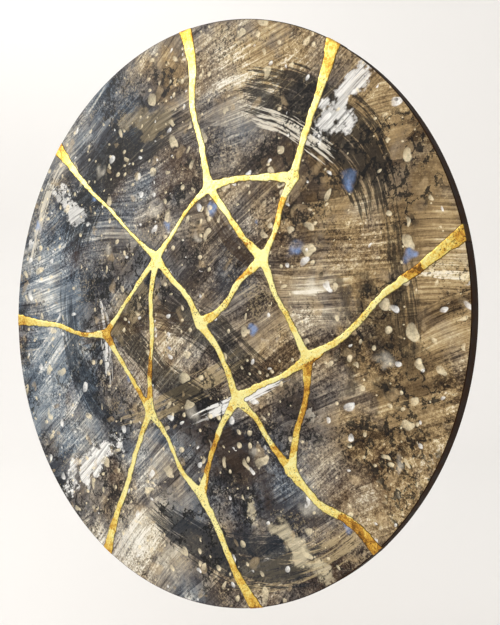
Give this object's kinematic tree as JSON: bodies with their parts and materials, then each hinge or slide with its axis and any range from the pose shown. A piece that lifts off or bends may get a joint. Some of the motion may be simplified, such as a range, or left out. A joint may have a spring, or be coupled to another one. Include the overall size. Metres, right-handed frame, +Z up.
{
  "type": "round kintsugi wall panel",
  "caption": "Round painted board that hangs flat on a wall, with gilded kintsugi seams in a web across its face and over its edge, and a keyhole slot routed in its back.",
  "frame": {"origin": "centre of the flat back face, where the panel lies against the wall", "axes": "+Z up, +Y out of the back into the wall, and the painted face looks along -Y"},
  "size_m": [0.7609, 0.0196, 0.7609],
  "materials": {
    "painted_board": "mixed paints under satin varnish, dark brown edge, bare back",
    "gold_leaf": "crinkled gold leaf on a low raised line"
  },
  "bodies": {
    "root": {"panel": "painted_board", "kintsugi_seams": "gold_leaf"}
  },
  "joints": []
}
